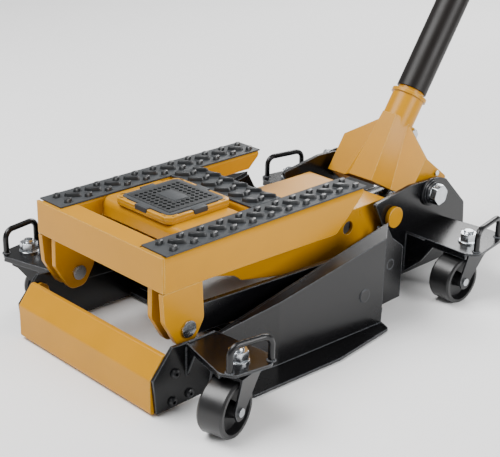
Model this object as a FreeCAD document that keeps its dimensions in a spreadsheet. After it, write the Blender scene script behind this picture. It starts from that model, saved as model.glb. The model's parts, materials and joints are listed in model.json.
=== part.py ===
"""Low platform trolley jack: wide tapered chassis on four swivel casters, a parallelogram lift
with a padded platform and lift-out saddle, a hydraulic ram and a tall pump handle.

Chassis frame: +X is the jack's right-hand side, +Y points to its rear (the handle), +Z is up.
Heights are above the floor.  Fore-and-aft places are measured from the front face of the platform
as it stands at rest, and every piece is then moved by origin_shift so that the origin lies on the
floor under the middle of the whole jack.
"""
import FreeCAD, Part
import Sketcher
import math
import os

Vector = FreeCAD.Vector
Rotation = FreeCAD.Rotation
Placement = FreeCAD.Placement

doc = FreeCAD.newDocument("platform_jack")

# --------------------------------------------------------------------------- driving dimensions
SIZES = {
    "origin_shift": -598.9,
    # sheet and plate thicknesses
    "plate": 5.0,
    "sheet": 4.0,
    "heavy_plate": 6.0,
    "ear_thick": 8.0,
    # platform, at its rest height
    "platform_half": 136.0,
    "platform_length": 390.0,
    "platform_top": 211.0,
    "front_plate_tall": 49.0,
    "rail_inner": 86.0,
    "pad_thick": 8.0,
    "saddle_y": 135.0,
    "saddle_width": 118.0,
    "saddle_stem": 38.0,
    "cross_pad_front": 205.0,
    "cross_pad_width": 58.0,
    # parallelogram linkage
    "arm_length": 400.0,
    "arm_rise": 22.0,
    "arm_pivot_y": 502.0,
    "arm_pivot_z": 126.0,
    "link_pivot_y": 442.0,
    "link_pivot_z": 77.4,
    "arm_half": 82.0,
    "arm_shaft_dia": 25.0,
    "shaft_cap_dia": 34.0,
    "front_pin_dia": 20.0,
    "link_pin_dia": 14.0,
    "link_rear_pin_dia": 16.0,
    "link_depth": 42.0,
    "link_x": 115.0,
    # chassis
    "bar_half": 147.0,
    "bar_front": -32.0,
    "bar_knuckle": 54.0,
    "bar_crest": 82.0,
    "side_plate_rear": 471.0,
    "rear_plate_x": 96.0,
    "rear_plate_end": 702.0,
    "floor_gap": 14.0,
    "rail_panel_front": 168.4,
    "rail_panel_rear": 180.5,
    "rail_panel_end": 392.0,
    # casters
    "wheel_dia": 75.0,
    "wheel_width": 38.0,
    "caster_trail": 30.0,
    "pad_top": 90.0,
    "front_stem_x": 230.0,
    "front_stem_y": 44.0,
    "rear_stem_x": 196.0,
    "rear_stem_y": 580.0,
    "kingpin_dia": 16.0,
    "axle_dia": 8.0,
    "loop_bar_dia": 9.0,
    "loop_height": 36.0,
    # hydraulics
    "lever_radius": 50.0,
    "lever_back_angle": 17.0,
    "ram_axis_z": 78.5,
    "ram_rod_dia": 28.0,
    "ram_cylinder_dia": 54.0,
    "ram_cylinder_front": 556.0,
    "trunnion_dia": 18.0,
    "plunger_dia": 16.0,
    "roller_dia": 18.0,
    # handle
    "handle_pivot_y": 597.0,
    "handle_pivot_z": 144.0,
    "handle_lean": 34.3,
    "handle_axis_offset": 23.5,
    "pivot_bolt_dia": 20.0,
    "socket_half": 88.0,
    "socket_tube_dia": 55.0,
    "handle_tube_dia": 45.0,
    "handle_sleeve_dia": 52.0,
    "handle_end": 1117.0,
    # clearances
    "running_gap": 0.05,
    "side_gap": 0.3,
}

sheet = doc.addObject("Spreadsheet::Sheet", "jack")
for row, (alias, number) in enumerate(SIZES.items(), start=1):
    sheet.set(f"A{row}", alias)
    sheet.set(f"B{row}", str(number))
    sheet.setAlias(f"B{row}", alias)
doc.recompute()


class Dim:
    """A length with the sheet expression that it comes from, so that sums of sizes stay bound."""

    def __init__(self, value, text=None):
        self.value = float(value)
        self.text = text

    def combine(self, other, sign, value):
        other = dim(other)
        if self.text is None and other.text is None:
            return Dim(value)
        left = self.text or repr(self.value)
        right = other.text or repr(other.value)
        return Dim(value, f"({left}{sign}{right})")

    def __add__(self, other):
        return self.combine(other, " + ", self.value + float(other))

    def __sub__(self, other):
        return self.combine(other, " - ", self.value - float(other))

    def __mul__(self, other):
        return self.combine(other, " * ", self.value * float(other))

    def __truediv__(self, other):
        return self.combine(other, " / ", self.value / float(other))

    def __neg__(self):
        return Dim(-1.0).combine(self, " * ", -self.value)

    def __radd__(self, other):
        return dim(other) + self

    def __rsub__(self, other):
        return dim(other) - self

    def __rmul__(self, other):
        return dim(other) * self

    def __float__(self):
        return self.value


def dim(value):
    """Wrap a plain number, or pass a Dim through."""
    return value if isinstance(value, Dim) else Dim(value)


def size(alias):
    """The sheet's value under this alias."""
    return Dim(sheet.get(alias), f"jack.{alias}")


def bind(item, path, value):
    """Set a property to a length and bind it to the sheet where the length comes from there."""
    value = dim(value)
    if "." not in path:
        setattr(item, path, value.value)
    if value.text is not None:
        item.setExpression(path, value.text)


def place(item, base=(0, 0, 0), rotation=None):
    """Put an object at a base point, each coordinate bound to the sheet."""
    base = [dim(part) for part in base]
    spot = Vector(*[part.value for part in base])
    item.Placement = Placement(spot, rotation or Rotation())
    for axis, part in zip("xyz", base):
        bind(item, f"Placement.Base.{axis}", part)
    return item


# ------------------------------------------------------------------------------ shared values
ORIGIN_SHIFT = size("origin_shift")
PLATE = size("plate")
SHEET = size("sheet")
HEAVY = size("heavy_plate")
RUN = size("running_gap")
SIDE_GAP = size("side_gap")
TOP = size("platform_top")
HALF = size("platform_half")
RAIL_INNER = size("rail_inner")
BAR_HALF = size("bar_half")
REAR_X = size("rear_plate_x")
PAD_TOP = size("pad_top")
FLOOR_GAP = size("floor_gap")

ARM_REAR = (size("arm_pivot_y"), size("arm_pivot_z"))
LINK_REAR = (size("link_pivot_y"), size("link_pivot_z"))
ARM_REACH = Dim(math.sqrt(float(size("arm_length")) ** 2 - float(size("arm_rise")) ** 2),
                "sqrt(jack.arm_length ^ 2 - jack.arm_rise ^ 2)")
ARM_FRONT = (ARM_REAR[0] - ARM_REACH, ARM_REAR[1] + size("arm_rise"))
LINK_FRONT = (LINK_REAR[0] - ARM_REACH, LINK_REAR[1] + size("arm_rise"))
HANDLE_PIVOT = (size("handle_pivot_y"), size("handle_pivot_z"))

ALONG = {
    "x": Rotation(Vector(0, 1, 0), 90),
    "-x": Rotation(Vector(0, 1, 0), -90),
    "y": Rotation(Vector(1, 0, 0), -90),
    "z": Rotation(),
}
nodes = []


def node(item, name, lift=(0, 0, 0), rotation=None, shift=True):
    """Finish a sub-part: give it its name, and its place in the jack."""
    if item.TypeId in ("Part::Box", "Part::Cylinder"):
        item = group(f"{name}_single", [item])
    item.Label = name
    if shift:
        place(item, (lift[0], ORIGIN_SHIFT + lift[1], lift[2]), rotation)
    nodes.append(item)
    return item


# ------------------------------------------------------------------------- sketch-based bodies
PLANES = {"XY": "XY_Plane", "XZ": "XZ_Plane", "YZ": "YZ_Plane"}


def origin_plane(body, plane):
    """One of a body's own origin planes."""
    for feature in body.Origin.OriginFeatures:
        if feature.Role == PLANES[plane]:
            return feature
    raise RuntimeError(f"no plane {plane}")


def pin_point(sketch, edge, end, point):
    """Hold one end of a sketch line at a point measured from the sketch's origin."""
    for kind, value in zip(("DistanceX", "DistanceY"), point):
        value = dim(value)
        index = sketch.addConstraint(Sketcher.Constraint(kind, -1, 1, edge, end, value.value))
        if value.text is not None:
            sketch.setExpression(f"Constraints[{index}]", value.text)


def sketch_outline(body, name, plane, outline, offset=0, holes=()):
    """A closed straight-sided outline, with round holes, on one of the body's planes."""
    sketch = body.newObject("Sketcher::SketchObject", name)
    sketch.AttachmentSupport = [(origin_plane(body, plane), "")]
    sketch.MapMode = "FlatFace"
    offset = dim(offset)
    sketch.AttachmentOffset = Placement(Vector(0, 0, offset.value), Rotation())
    bind(sketch, "AttachmentOffset.Base.z", offset)
    corners = [Vector(float(point[0]), float(point[1]), 0) for point in outline]
    count = len(corners)
    for index in range(count):
        sketch.addGeometry(Part.LineSegment(corners[index], corners[(index + 1) % count]))
    for index in range(count):
        sketch.addConstraint(Sketcher.Constraint("Coincident", index, 2, (index + 1) % count, 1))
    for index in range(count):
        pin_point(sketch, index, 1, outline[index][:2])
    for across, up, diameter in holes:
        centre = Vector(float(across), float(up), 0)
        radius = dim(diameter) / 2
        ring = sketch.addGeometry(Part.Circle(centre, Vector(0, 0, 1), radius.value))
        pin_point(sketch, ring, 3, (across, up))
        index = sketch.addConstraint(Sketcher.Constraint("Radius", ring, radius.value))
        if radius.text is not None:
            sketch.setExpression(f"Constraints[{index}]", radius.text)
    return sketch


def outline_edges(shape, plane, corner):
    """The names of the edges that a padded outline has along its depth at this corner."""
    keep = {"XY": (0, 1), "XZ": (0, 2), "YZ": (1, 2)}[plane]
    found = []
    for index, edge in enumerate(shape.Edges, start=1):
        ends = [vertex.Point for vertex in edge.Vertexes]
        if len(ends) == 2 and all(
                abs(point[axis] - float(value)) < 0.01
                for point in ends for axis, value in zip(keep, corner)):
            found.append(f"Edge{index}")
    return found


def extruded(name, plane, outline, low, high, holes=()):
    """A body padded from low to high along the plane's normal axis.

    A corner given as (across, up, radius) is rounded with a fillet.
    """
    body = doc.addObject("PartDesign::Body", name)
    low, high = dim(low), dim(high)
    # the XZ plane's sketch looks along -Y, so its depth is counted the other way
    start = -high if plane == "XZ" else low
    sketch = sketch_outline(body, f"{name}_outline", plane, outline, start, holes)
    pad = body.newObject("PartDesign::Pad", f"{name}_pad")
    pad.Profile = sketch
    bind(pad, "Length", high - low)
    doc.recompute()
    radii = sorted({float(point[2]) for point in outline if len(point) == 3}, reverse=True)
    for radius in radii:
        base = body.Tip
        edges = []
        for point in outline:
            if len(point) == 3 and float(point[2]) == radius:
                edges += outline_edges(base.Shape, plane, point[:2])
        fillet = body.newObject("PartDesign::Fillet", f"{name}_round")
        fillet.Base = (base, edges)
        fillet.Radius = radius
        doc.recompute()
    return body


def revolved(name, outline):
    """A body turned about its own Z axis from an outline of (radius, height) points."""
    body = doc.addObject("PartDesign::Body", name)
    sketch = sketch_outline(body, f"{name}_outline", "XZ", outline)
    turn = body.newObject("PartDesign::Revolution", f"{name}_turn")
    turn.Profile = sketch
    turn.ReferenceAxis = (sketch, ["V_Axis"])
    turn.Angle = 360
    doc.recompute()
    return body


# --------------------------------------------------------------------- primitives and booleans
def cylinder(name, base, along, length, diameter):
    """A round bar from its base point along x, -x, y or z."""
    item = doc.addObject("Part::Cylinder", name)
    bind(item, "Radius", dim(diameter) / 2)
    bind(item, "Height", length)
    return place(item, base, ALONG[along])


def box(name, low, high):
    """A block between two opposite corners."""
    item = doc.addObject("Part::Box", name)
    for prop, first, last in zip(("Length", "Width", "Height"), low, high):
        bind(item, prop, dim(last) - first)
    return place(item, low)


def hexagon(name, base, along, length, across_flats):
    """A hexagonal bar, as a bolt head or a nut is."""
    item = doc.addObject("Part::Prism", name)
    item.Polygon = 6
    item.Circumradius = float(across_flats) / math.sqrt(3)
    bind(item, "Height", length)
    return place(item, base, ALONG[along])


def fuse(name, items):
    """Several shapes joined into one solid."""
    item = doc.addObject("Part::MultiFuse", name)
    item.Shapes = items
    item.Refine = True
    return item


def cut(name, base, tools):
    """A shape with one or more others taken out of it."""
    item = doc.addObject("Part::Cut", name)
    item.Base = base
    item.Tool = tools[0] if len(tools) == 1 else fuse(f"{name}_tools", tools)
    item.Refine = True
    return item


def common(name, items):
    """What all the given shapes share."""
    item = doc.addObject("Part::MultiCommon", name)
    item.Shapes = items
    item.Refine = True
    return item


def group(name, items):
    """Like pieces kept as separate solids in one sub-part."""
    item = doc.addObject("Part::Compound", name)
    item.Links = items
    return item


def mirrored(name, source):
    """The left-hand twin of a right-hand piece that is already in its place."""
    item = doc.addObject("Part::Mirroring", name)
    item.Source = source
    item.Normal = Vector(1, 0, 0)
    return item


def pair(kind, right):
    """Make right_KIND and left_KIND sub-parts from the right-hand piece."""
    right = node(right, f"right_{kind}")
    node(mirrored(f"left_{kind}_mirror", right), f"left_{kind}", shift=False)


# ------------------------------------------------------------------------------------ chassis
def side_plates():
    """Outer side plates: they carry the front bar, the outer rails and the lower link pins."""
    rear = size("side_plate_rear")
    outline = [
        (-25.5, 4), (-30.5, 53.8), (2.5, 91.6), (25, 90), (75, 82), (428, 146), (442, 122),
        (rear, 100, 6), (rear, FLOOR_GAP), (90, 4),
    ]
    holes = [(across, up, 8) for across, up in FRONT_BOLTS]
    holes.append((*LINK_REAR, size("link_rear_pin_dia")))
    pair("side_plate", extruded("side_plate_body", "YZ", outline, BAR_HALF, BAR_HALF + PLATE, holes))


FRONT_BOLTS = [(6.4, 53.0), (1.6, 13.0), (30.9, 14.5)]
SPRING_X = 66
SPRING_FOOT = (197.0, 22.0)
SPRING_TOP = (330.0, 86.0)


def frame_rails():
    """Tapered outer rails: a sheet channel closed by the side plate, on a wide skid flange."""
    inner = BAR_HALF + PLATE
    front, rear = size("rail_panel_front"), size("rail_panel_rear")
    end = size("rail_panel_end")
    plan = [(inner, 72), (front, 182), (rear, end), (inner, 430)]
    side = [(60, 4), (60, 80), (430, 150), (440, 150), (440, 4)]
    skin = common("rail_skin", [
        extruded("rail_plan", "XY", plan, 4, 160),
        extruded("rail_side", "YZ", side, inner - 10, rear + 10),
    ])
    hollow_plan = [
        (inner - 1, 90), (front - SHEET, 183), (rear - SHEET, end + 1), (rear + 5, end + 40),
        (inner - 1, end + 60),
    ]
    hollow_side = [(50, 8), (50, 74), (430, 146), (470, 153), (470, 8)]
    hollow = common("rail_hollow", [
        extruded("rail_hollow_plan", "XY", hollow_plan, 0, 170),
        extruded("rail_hollow_side", "YZ", hollow_side, inner - 10, rear + 20),
    ])
    skid = extruded("rail_skid", "XY", [
        (inner, 78), (205, 98, 8), (214, 262, 30), (201, 386, 8), (inner, 404),
    ], 2, 6)
    ring = cylinder("rail_plug_weld", (rear - SHEET - 2, 352, 62), "x", SHEET + 1, 20)
    rail = fuse("frame_rail", [cut("rail_channel", skin, [hollow]), skid, ring])
    pair("frame_rail", rail)


def rear_plates():
    """Inner rear plates: they hold the arm shaft, the handle pivots and the rear outriggers."""
    end = size("rear_plate_end")
    outline = [
        (424, FLOOR_GAP), (424, 98, 4), (486, 106, 4), (459, 155, 4), (546, 167, 30),
        (620, 163.5, 12), (640, 157, 12), (697, 102, 10), (end, 55, 20), (end, FLOOR_GAP),
    ]
    holes = [
        (*LINK_REAR, size("link_rear_pin_dia")),
        (*ARM_REAR, size("arm_shaft_dia") + RUN * 2),
        (*HANDLE_PIVOT, size("pivot_bolt_dia")),
    ]
    plate = extruded("rear_plate_body", "YZ", outline, REAR_X, REAR_X + HEAVY, holes)
    gusset = extruded("rear_gusset", "XZ", [
        (REAR_X + HEAVY, FLOOR_GAP), (REAR_X + HEAVY, 118), (BAR_HALF, 98), (BAR_HALF, FLOOR_GAP),
    ], size("side_plate_rear") - PLATE, size("side_plate_rear"))
    pair("rear_plate", fuse("rear_plate_welded", [plate, gusset]))


def front_bar():
    """Folded front bar with end plates, bolted between the side plates."""
    front, knuckle, crest = size("bar_front"), size("bar_knuckle"), size("bar_crest")
    skin = [
        (-6, 3), (front, 3, 5), (front, knuckle, 6), (-9.5, crest, 3), (-4, crest), (-4, crest - SHEET),
        (-8.5, crest - SHEET), (front + SHEET, knuckle - 1), (front + SHEET, 3 + SHEET), (-6, 3 + SHEET),
    ]
    bar = extruded("front_bar_fold", "YZ", skin, -BAR_HALF, BAR_HALF)
    end = [(-28.2, 6.8), (-28.2, 53), (-9, 76), (6, 79, 6), (17, 72, 6), (22, 44, 8), (42, 26, 6), (42, 6.8)]
    holes = [(across, up, 8) for across, up in FRONT_BOLTS]
    plates = [
        extruded("front_bar_end_right", "YZ", end, BAR_HALF - SHEET, BAR_HALF, holes),
        extruded("front_bar_end_left", "YZ", end, -BAR_HALF, SHEET - BAR_HALF, holes),
    ]
    node(fuse("front_bar_welded", [bar] + plates), "front_bar")


def front_bar_bolts():
    """Six button-head bolts with plain nuts hold the front bar."""
    bolts = []
    outer = BAR_HALF + PLATE
    for side, along in ((1, "x"), (-1, "-x")):
        for number, (across, up) in enumerate(FRONT_BOLTS):
            name = f"front_bolt_{along}{number}".replace("-", "left_")
            shank_start = (outer - 14) * side
            shank = cylinder(f"{name}_shank", (shank_start, across, up), along, 14, 8)
            head = cylinder(f"{name}_head", (outer * side, across, up), along, 4.5, 14)
            nut = hexagon(f"{name}_nut", ((BAR_HALF - SHEET - 4.5) * side, across, up), along, 4.5, 12)
            bolts.append(fuse(name, [shank, head, nut]))
    node(group("front_bolts", bolts), "front_bar_bolts")


def cross_members():
    """Flat tie bar between the side plates, and the floor plate under the hydraulics."""
    tie = box("tie_flat", (-BAR_HALF, 172, 4), (BAR_HALF, 196, 10))
    rib = box("tie_rib", (-BAR_HALF, 192, 10), (BAR_HALF, 196, 24))
    anchors = [
        cylinder(f"spring_anchor_{number}", (SPRING_X * side - 7, *SPRING_FOOT), "x", 14, 8)
        for number, side in enumerate((1, -1))
    ]
    node(fuse("tie_bar_welded", [tie, rib] + anchors), "tie_bar")
    floor = extruded("rear_floor", "XY", [
        (-REAR_X, 440), (REAR_X, 440), (REAR_X, 690), (-REAR_X, 690),
    ], FLOOR_GAP, FLOOR_GAP + HEAVY, [(0, 500, 60)])
    node(floor, "rear_floor_plate")


def outrigger(name, deck, web, web_profile, bore):
    """A caster arm: a flat deck with a tapered web folded down along its front edge."""
    under = PAD_TOP - SHEET
    top = extruded(f"{name}_deck", "XY", deck, under, PAD_TOP, [bore])
    strip = common(f"{name}_web", [
        extruded(f"{name}_web_plan", "XY", web, FLOOR_GAP, under),
        extruded(f"{name}_web_side", "XZ", web_profile, web[0][1] - 60, web[0][1] + 60),
    ])
    return fuse(name, [top, strip])


def outriggers():
    """Two front and two rear caster arms."""
    under = PAD_TOP - SHEET
    outer = BAR_HALF + PLATE
    front = outrigger(
        "front_outrigger",
        [(outer, 26), (238, 4, 12), (256, 14, 12), (266, 72, 16), (246, 88, 16), (outer, 78)],
        [(outer, 26), (238, 4), (238, 8.2), (outer, 30.2)],
        [(outer, 42), (174, 81.6), (250, 82), (250, under), (outer, under)],
        (size("front_stem_x"), size("front_stem_y"), size("kingpin_dia")))
    inner = REAR_X + HEAVY
    rear = outrigger(
        "rear_outrigger",
        [(inner, 542), (222, 538, 12), (238, 552, 14), (226, 636, 18), (196, 650, 14), (inner, 640)],
        [(inner, 542), (222, 538), (222, 542), (inner, 546)],
        [(inner, FLOOR_GAP + 4), (136, 48), (158, 79), (240, 80), (240, under), (inner, under)],
        (size("rear_stem_x"), size("rear_stem_y"), size("kingpin_dia")))
    for kind, right in (("front_outrigger", front), ("rear_outrigger", rear)):
        node(group(f"{kind}_pair", [right, mirrored(f"{kind}_left", right)]), f"{kind}s")


def carry_loop(name, first, last):
    """A round bar bent into a handle between two feet on a deck."""
    bar = size("loop_bar_dia")
    bend = 14.0
    across = Vector(last[0] - first[0], last[1] - first[1], 0)
    span = across.Length
    tall = size("loop_height")
    leg = tall - bend
    legs = [
        cylinder(f"{name}_leg_a", (0, 0, 0), "z", leg, bar),
        cylinder(f"{name}_leg_b", (span, 0, 0), "z", leg, bar),
        cylinder(f"{name}_top", (bend, 0, tall), "x", span - 2 * bend, bar),
    ]
    for corner, middle, turn in (("a", bend, 90), ("b", span - bend, 0)):
        arc = doc.addObject("Part::Torus", f"{name}_bend_{corner}")
        arc.Radius1 = bend
        bind(arc, "Radius2", bar / 2)
        arc.Angle3 = 90
        swing = Rotation(Vector(1, 0, 0), 90) * Rotation(Vector(0, 0, 1), turn)
        place(arc, (middle, 0, leg), swing)
        legs.append(arc)
    loop = fuse(name, legs)
    yaw = Rotation(Vector(1, 0, 0), across)
    place(loop, (first[0], first[1], PAD_TOP), yaw)
    return loop


def carry_loops():
    """One loop on the outer edge of each caster arm."""
    rights = [
        carry_loop("front_loop", (246, 14), (257, 76)),
        carry_loop("rear_loop", (229, 556), (216, 632)),
    ]
    loops = []
    for right in rights:
        loops += [right, mirrored(f"{right.Name}_left", right)]
    node(group("all_loops", loops), "carry_loops")


def stem_places():
    """The four caster stems, with the way each caster trails at rest."""
    front = (size("front_stem_x"), size("front_stem_y"))
    rear = (size("rear_stem_x"), size("rear_stem_y"))
    return {
        "front_right": (front[0], front[1], -76),
        "front_left": (-front[0], front[1], 45),
        "rear_right": (rear[0], rear[1], -92),
        "rear_left": (-rear[0], rear[1], -88),
    }


def caster_studs():
    """Kingpins fixed through the caster arms, each with its hex nut."""
    pin = size("kingpin_dia")
    solids = []
    for name, (across, along, yaw) in stem_places().items():
        shaft = cylinder(f"kingpin_{name}", (across, along, 75), "z", PAD_TOP + 20 - 75, pin)
        head = cylinder(f"kingpin_head_{name}", (across, along, 73.7), "z", 4, 24)
        nut = hexagon(f"caster_nut_{name}", (across, along, PAD_TOP + 3), "z", 13, 24)
        washer = cylinder(f"caster_washer_{name}", (across, along, PAD_TOP), "z", 3, 30)
        solids.append(fuse(f"caster_stud_{name}", [shaft, head]))
        solids.append(cut(f"caster_nut_bored_{name}", fuse(f"nut_washer_{name}", [nut, washer]), [
            cylinder(f"caster_nut_bore_{name}", (across, along, PAD_TOP - 1), "z", 20, pin),
        ]))
    node(group("studs", solids), "caster_studs")


def pivot_hardware():
    """Lower link pins, and the handle's pivot bolts with their washers."""
    pin = size("link_rear_pin_dia")
    pins = [
        cylinder("link_rear_pin_right", (REAR_X, *LINK_REAR), "x", BAR_HALF + PLATE - REAR_X, pin),
        cylinder("link_rear_pin_left", (-REAR_X, *LINK_REAR), "-x", BAR_HALF + PLATE - REAR_X, pin),
    ]
    node(group("link_rear_pin_pair", pins), "link_rear_pins")
    bolts = []
    shank_dia = size("pivot_bolt_dia")
    face = REAR_X + HEAVY
    inside = size("socket_half") - PLATE - 3
    for side, along in ((1, "x"), (-1, "-x")):
        tag = "right" if side > 0 else "left"
        shank = cylinder(f"pivot_shank_{tag}", (inside * side, *HANDLE_PIVOT), along, face + 14 - inside,
                         shank_dia)
        head = hexagon(f"pivot_head_{tag}", ((face + 11) * side, *HANDLE_PIVOT), along, 12.5, 30)
        bolts.append(fuse(f"pivot_bolt_{tag}", [shank, head]))
        for number, (start, thick, wide) in enumerate(((0, 4, 46), (4, 3, 42), (7, 4, 37))):
            ring = cylinder(f"washer_{tag}_{number}", ((face + start) * side, *HANDLE_PIVOT), along,
                            thick, wide)
            bore = cylinder(f"washer_bore_{tag}_{number}", ((face + start - 1) * side, *HANDLE_PIVOT),
                            along, thick + 2, shank_dia)
            bolts.append(cut(f"pivot_washer_{tag}_{number}", ring, [bore]))
    node(group("pivot_bolt_set", bolts), "handle_pivot_bolts")


# ------------------------------------------------------------------------------------ casters
def casters():
    """Swivel casters: pressed fork, riveted axle and dished wheel, each standing at its stem."""
    radius = size("wheel_dia") / 2
    trail = size("caster_trail")
    half = size("wheel_width") / 2
    axle = size("axle_dia")
    gap = 1.5
    leg_in = half + gap
    leg_out = leg_in + 3
    crown_top = PAD_TOP - SHEET - SIDE_GAP
    for name, (across, along, yaw) in stem_places().items():
        turn = Rotation(Vector(0, 0, 1), yaw)
        leg = [
            (-22, 81), (26, 81), (30, 70), (trail + 13, 40, 10), (trail + 6, 25, 8), (trail - 8, 25, 8),
            (trail - 14, 38, 8), (-14, 72), (-22, 76),
        ]
        bore = [(trail, radius, axle)]
        legs = [
            extruded(f"fork_leg_a_{name}", "XZ", leg, leg_in, leg_out, bore),
            extruded(f"fork_leg_b_{name}", "XZ", leg, -leg_out, -leg_in, bore),
        ]
        crown = extruded(f"fork_crown_{name}", "XY", [
            (-22, -leg_out, 6), (26, -leg_out, 4), (26, leg_out, 4), (-22, leg_out, 6),
        ], 78, 81)
        race = cylinder(f"fork_race_{name}", (0, 0, 81), "z", crown_top - 81, 40)
        fork = cut(f"fork_cut_{name}", fuse(f"fork_body_{name}", legs + [crown, race]), [
            cylinder(f"fork_bore_{name}", (0, 0, 70), "z", 30, size("kingpin_dia") + RUN * 2),
        ])
        node(fork, f"{name}_fork", (across, along, 0), turn)

        pin = cylinder(f"axle_pin_{name}", (trail, -leg_out, radius), "y", leg_out * 2, axle)
        head_a = cylinder(f"axle_head_a_{name}", (trail, leg_out, radius), "y", 2.5, 12)
        head_b = cylinder(f"axle_head_b_{name}", (trail, -leg_out - 2.5, radius), "y", 2.5, 12)
        node(fuse(f"axle_{name}", [pin, head_a, head_b]), f"{name}_axle", (across, along, 0), turn)

        bore_radius = axle / 2 + RUN
        wheel = revolved(f"wheel_{name}", [
            (bore_radius, -half), (9, -half), (12, -6), (28, -8), (31, -half), (radius - 2, -half),
            (radius, 3 - half), (radius, half - 3), (radius - 2, half), (31, half), (28, 8), (12, 6),
            (9, half), (bore_radius, half),
        ])
        hub = Rotation(Vector(0, 0, 1), yaw) * ALONG["y"]
        forward = turn.multVec(Vector(float(trail), 0, 0))
        node(wheel, f"{name}_wheel", (across + forward.x, along + forward.y, radius), hub)


# ----------------------------------------------------------------------------------- platform
def platform_rails():
    """Folded platform rails with the lugs that hang on the arm's front pin."""
    top = TOP
    section = [
        (HALF, 150), (HALF, top, 9), (RAIL_INNER, top, 4), (RAIL_INNER, 186), (RAIL_INNER + SHEET, 186),
        (RAIL_INNER + SHEET, top - SHEET), (HALF - SHEET, top - SHEET), (HALF - SHEET, 150),
    ]
    channel = extruded("rail_section", "XZ", section, SHEET, size("platform_length"))
    side = extruded("rail_profile", "YZ", [
        (0, 160), (70, 160), (330, 153, 10), (388, 204, 8), (size("platform_length"), top + 5), (0, top + 5),
    ], RAIL_INNER - 5, HALF + 5)
    lug = extruded("rail_lug", "YZ", [
        (ARM_FRONT[0] - 26, top - SHEET), (ARM_FRONT[0] - 18, 134, 12), (ARM_FRONT[0] + 18, 134, 12),
        (ARM_FRONT[0] + 26, top - SHEET),
    ], RAIL_INNER + SHEET, RAIL_INNER + SHEET + PLATE, [(*ARM_FRONT, size("front_pin_dia"))])
    pair("platform_rail", fuse("platform_rail_welded", [common("rail_trimmed", [channel, side]), lug]))


def platform_crossmembers():
    """Front plate, saddle bridge and rear bridge between the rails."""
    low = TOP - size("front_plate_tall")
    face = box("front_face", (-HALF, 0, low), (HALF, SHEET, TOP))
    lip = box("front_lip", (-RAIL_INNER, 0, TOP - SHEET), (RAIL_INNER, 33, TOP))
    node(fuse("front_plate_fold", [face, lip]), "platform_front_plate")
    centre = size("saddle_y")
    bridge = extruded("saddle_bridge_fold", "YZ", [
        (centre - 57, 184), (centre - 57, TOP, 12), (centre + 57, TOP, 12), (centre + 57, 184),
        (centre + 53, 184), (centre + 53, TOP - SHEET, 8), (centre - 53, TOP - SHEET, 8), (centre - 53, 184),
    ], -RAIL_INNER, RAIL_INNER)
    bore = cylinder("saddle_bore", (0, centre, TOP - 60), "z", 80, size("saddle_stem") + RUN * 2)
    node(cut("saddle_bridge_bored", bridge, [bore]), "saddle_bridge")
    first = size("cross_pad_front")
    last = first + size("cross_pad_width")
    rear = extruded("rear_bridge_fold", "YZ", [
        (first, 192), (first, TOP, 6), (last, TOP, 6), (last, 192), (last - SHEET, 192),
        (last - SHEET, TOP - SHEET), (first + SHEET, TOP - SHEET), (first + SHEET, 192),
    ], -RAIL_INNER, RAIL_INNER)
    node(rear, "rear_bridge")


def clevis_ears():
    """Two ears under each rail's front end take the lower links."""
    outline = [(0, 160), (68, 160), (71, 106, 14), (53, 76, 16), (27, 76, 16), (3, 118, 14)]
    hole = [(*LINK_FRONT, size("link_pin_dia"))]
    thick = size("ear_thick")
    outer = extruded("ear_outer", "YZ", outline, HALF - thick, HALF, hole)
    tall = [(4, 160), (4, TOP - SHEET), (68, TOP - SHEET), (68, 160)] + outline[2:]
    inner = extruded("ear_inner", "YZ", tall, 102, 102 + thick, hole)
    ears = []
    for ear in (outer, inner):
        ears += [ear, mirrored(f"{ear.Name}_left", ear)]
    node(group("ears", ears), "clevis_ears")


def platform_pins():
    """The arm's front pin and the two link pins, headed at both ends."""
    pin = size("link_pin_dia")
    front = cylinder("arm_front_pin", (-(RAIL_INNER + 12), *ARM_FRONT), "x", RAIL_INNER * 2 + 24,
                     size("front_pin_dia"))
    pins = [front]
    for side, along in ((1, "x"), (-1, "-x")):
        tag = "right" if side > 0 else "left"
        shank = cylinder(f"link_pin_{tag}", (102 * side, *LINK_FRONT), along, HALF - 102, pin)
        outer = cylinder(f"link_pin_head_{tag}", (HALF * side, *LINK_FRONT), along, 3.5, 24)
        inner = cylinder(f"link_pin_foot_{tag}", (98.5 * side, *LINK_FRONT), along, 3.5, 22)
        pins.append(fuse(f"link_pin_whole_{tag}", [shank, outer, inner]))
    node(group("platform_pin_set", pins), "platform_pins")


def pads_and_saddle():
    """Rubber pads on the platform and the lift-out saddle with its rubber insert."""
    high = TOP + size("pad_thick")
    rail_pad = box("rail_pad", (RAIL_INNER + 1, 6, TOP), (HALF + 1, 393, high))
    pair("rail_pad", rail_pad)
    first = size("cross_pad_front")
    inner = RAIL_INNER + 0.5
    node(box("bridge_pad", (-inner, first, TOP), (inner, first + size("cross_pad_width"), high)), "cross_pad")
    half = size("saddle_width") / 2
    rim = extruded("saddle_rim", "XY", [
        (-half, -half, 12), (half, -half, 12), (half, half, 12), (-half, half, 12),
    ], 0.2, 10.5)
    stem = cylinder("saddle_stem_bar", (0, 0, -32), "z", 33, size("saddle_stem"))
    inset = half - 6.5
    tray = extruded("saddle_tray", "XY", [
        (-inset, -inset, 8), (inset, -inset, 8), (inset, inset, 8), (-inset, inset, 8),
    ], 5.5, 20)
    spot = (0, size("saddle_y"), TOP)
    node(cut("saddle_tray_cut", fuse("saddle_whole", [rim, stem]), [tray]), "saddle", spot)
    pad = inset - 0.2
    insert = extruded("saddle_insert", "XY", [
        (-pad, -pad, 8), (pad, -pad, 8), (pad, pad, 8), (-pad, pad, 8),
    ], 5.5, 13.5)
    node(insert, "saddle_pad", spot)


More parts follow.
